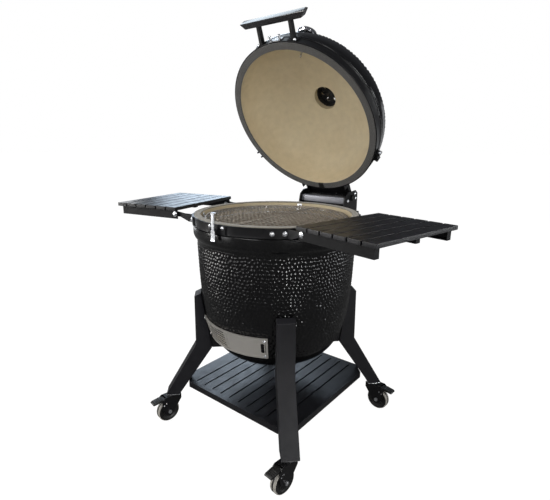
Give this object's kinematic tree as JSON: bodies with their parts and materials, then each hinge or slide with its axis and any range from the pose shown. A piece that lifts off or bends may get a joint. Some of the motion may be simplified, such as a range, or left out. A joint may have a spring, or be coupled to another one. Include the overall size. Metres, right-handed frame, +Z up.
{
  "type": "kamado ceramic grill",
  "caption": "Egg-shaped ceramic charcoal grill with a hinged dome lid, folding side shelves and a four-legged rolling stand.",
  "frame": {"origin": "middle of the whole outline, on the floor that the casters stand on", "axes": "+Z up, -Y towards the cook at the front, +X to the cook's right"},
  "size_m": [1.1682, 0.7404, 1.3891],
  "materials": {
    "black_glaze": "glossy dimpled black glaze outside, matte cream inside",
    "cream_ceramic": "matte cream refractory ceramic",
    "felt": "coarse heat-proof felt",
    "black_steel": "satin black powder coat",
    "charcoal_steel": "matte charcoal powder coat",
    "stainless": "brushed stainless steel",
    "zinc": "bright zinc plate",
    "chrome": "polished",
    "glass": "clear",
    "needle_red": "satin red",
    "cast_iron": "matte black cast iron",
    "handle_metal": "semi-gloss dark grey",
    "caster_tyre": "black core with a pale grey tread"
  },
  "bodies": {
    "stand": {"base_shell": "black_glaze", "base_gasket": "felt", "base_band": "black_steel", "base_bolts": "zinc", "firebox": "cream_ceramic", "fire_ring": "cream_ceramic", "charcoal_grate": "cast_iron", "grate_rack": "stainless", "draft_frame": "stainless", "latch_bracket": "stainless", "cradle_brackets": "black_steel", "leg_front_right": "charcoal_steel", "leg_back_right": "charcoal_steel", "leg_back_left": "charcoal_steel", "leg_front_left": "charcoal_steel", "bottom_shelf": "black_steel", "shelf_mount_right": "black_steel", "shelf_mount_left": "black_steel", "hinge_lower_bracket": "black_steel", "hinge_shaft": "zinc", "hinge_springs": "zinc", "hinge_bar": "stainless", "caster_plates": "zinc"},
    "lid": {"hinge_upper_bracket": "black_steel", "lid_shell": "black_glaze", "lid_gasket": "felt", "lid_band": "black_steel", "lid_bolts": "zinc", "lid_catch": "stainless", "handle_bar": "handle_metal", "handle_posts": "black_steel", "thermometer_case": "chrome", "thermometer_glass": "glass", "vent_base": "cast_iron"},
    "vent_disc": {"vent_disc": "cast_iron"},
    "needle": {"thermometer_needle": "needle_red"},
    "draft_slider": {"draft_slider": "stainless"},
    "latch": {"latch_lever": "stainless"},
    "left_grate": {"grate_left": "stainless"},
    "right_grate": {"grate_right": "stainless"},
    "right_shelf": {"shelf_frame_right": "black_steel", "shelf_slats_right": "charcoal_steel"},
    "left_shelf": {"shelf_frame_left": "black_steel", "shelf_slats_left": "charcoal_steel"},
    "caster_1": {"caster_fork_1": "black_steel", "caster_axle_1": "zinc"},
    "wheel_1": {"caster_wheel_1": "caster_tyre"},
    "pedal_1": {"caster_pedal_1": "black_steel"},
    "caster_2": {"caster_fork_2": "black_steel", "caster_axle_2": "zinc"},
    "wheel_2": {"caster_wheel_2": "caster_tyre"},
    "pedal_2": {"caster_pedal_2": "black_steel"},
    "caster_3": {"caster_fork_3": "black_steel", "caster_axle_3": "zinc"},
    "wheel_3": {"caster_wheel_3": "caster_tyre"},
    "pedal_3": {"caster_pedal_3": "black_steel"},
    "caster_4": {"caster_fork_4": "black_steel", "caster_axle_4": "zinc"},
    "wheel_4": {"caster_wheel_4": "caster_tyre"},
    "pedal_4": {"caster_pedal_4": "black_steel"}
  },
  "joints": [
    {"name": "lid_hinge", "type": "hinge", "parent": "stand", "child": "lid", "pos_m": [0, 0.32623, 0.8], "axis": [-1, 0, 0], "range_deg": [-57.35, 0], "stiffness_Nm_per_rad": 58, "springref_deg": 41.25},
    {"name": "needle_turn", "type": "hinge", "parent": "lid", "child": "needle", "pos_m": [0, 0.15067, 1.36218], "axis": [0, -0.4059, -0.9139], "range_deg": [0, 250]},
    {"name": "vent_turn", "type": "hinge", "parent": "lid", "child": "vent_disc", "pos_m": [0, 0.31672, 1.19297], "axis": [0, 0.842, 0.5395], "range_deg": [-22, 8]},
    {"name": "draft_slide", "type": "hinge", "parent": "stand", "child": "draft_slider", "pos_m": [0, -0.00977, 0.385], "axis": [0, 0, -1], "range_deg": [0, 30]},
    {"name": "latch_swing", "type": "hinge", "parent": "stand", "child": "latch", "pos_m": [0, -0.30257, 0.752], "axis": [1, 0, 0], "range_deg": [0, 20]},
    {"name": "left_grate_lift", "type": "slide", "parent": "stand", "child": "left_grate", "axis": [0, 0, 1], "range_m": [0, 0.06]},
    {"name": "right_grate_lift", "type": "slide", "parent": "stand", "child": "right_grate", "axis": [0, 0, 1], "range_m": [0, 0.06]},
    {"name": "right_shelf_fold", "type": "hinge", "parent": "stand", "child": "right_shelf", "pos_m": [0.29931, -0.07339, 0.768], "axis": [0.2079, 0.9781, 0], "range_deg": [0, 90]},
    {"name": "left_shelf_fold", "type": "hinge", "parent": "stand", "child": "left_shelf", "pos_m": [-0.29931, -0.07339, 0.768], "axis": [0.2079, -0.9781, 0], "range_deg": [0, 90]},
    {"name": "caster_1_swivel", "type": "hinge", "parent": "stand", "child": "caster_1", "pos_m": [0.26941, -0.27917, 0.1], "axis": [0, 0, 1], "continuous": true},
    {"name": "wheel_1_spin", "type": "hinge", "parent": "caster_1", "child": "wheel_1", "pos_m": [0.26575, -0.30895, 0.041], "axis": [0.9925, -0.1219, 0], "continuous": true},
    {"name": "pedal_1_press", "type": "hinge", "parent": "caster_1", "child": "pedal_1", "pos_m": [0.26356, -0.32682, 0.091], "axis": [0.9925, -0.1219, 0], "range_deg": [0, 8]},
    {"name": "caster_2_swivel", "type": "hinge", "parent": "stand", "child": "caster_2", "pos_m": [0.26941, 0.25964, 0.1], "axis": [0, 0, 1], "continuous": true},
    {"name": "wheel_2_spin", "type": "hinge", "parent": "caster_2", "child": "wheel_2", "pos_m": [0.29939, 0.2586, 0.041], "axis": [0.0349, 0.9994, 0], "continuous": true},
    {"name": "pedal_2_press", "type": "hinge", "parent": "caster_2", "child": "pedal_2", "pos_m": [0.31738, 0.25797, 0.091], "axis": [0.0349, 0.9994, 0], "range_deg": [0, 8]},
    {"name": "caster_3_swivel", "type": "hinge", "parent": "stand", "child": "caster_3", "pos_m": [-0.26941, 0.25964, 0.1], "axis": [0, 0, 1], "continuous": true},
    {"name": "wheel_3_spin", "type": "hinge", "parent": "caster_3", "child": "wheel_3", "pos_m": [-0.2642, 0.2301, 0.041], "axis": [0.9848, 0.1736, 0], "continuous": true},
    {"name": "pedal_3_press", "type": "hinge", "parent": "caster_3", "child": "pedal_3", "pos_m": [-0.26107, 0.21237, 0.091], "axis": [0.9848, 0.1736, 0], "range_deg": [0, 8]},
    {"name": "caster_4_swivel", "type": "hinge", "parent": "stand", "child": "caster_4", "pos_m": [-0.26941, -0.27917, 0.1], "axis": [0, 0, 1], "continuous": true},
    {"name": "wheel_4_spin", "type": "hinge", "parent": "caster_4", "child": "wheel_4", "pos_m": [-0.27564, -0.30852, 0.041], "axis": [0.9781, -0.2079, 0], "continuous": true},
    {"name": "pedal_4_press", "type": "hinge", "parent": "caster_4", "child": "pedal_4", "pos_m": [-0.27939, -0.32612, 0.091], "axis": [0.9781, -0.2079, 0], "range_deg": [0, 8]}
  ]
}
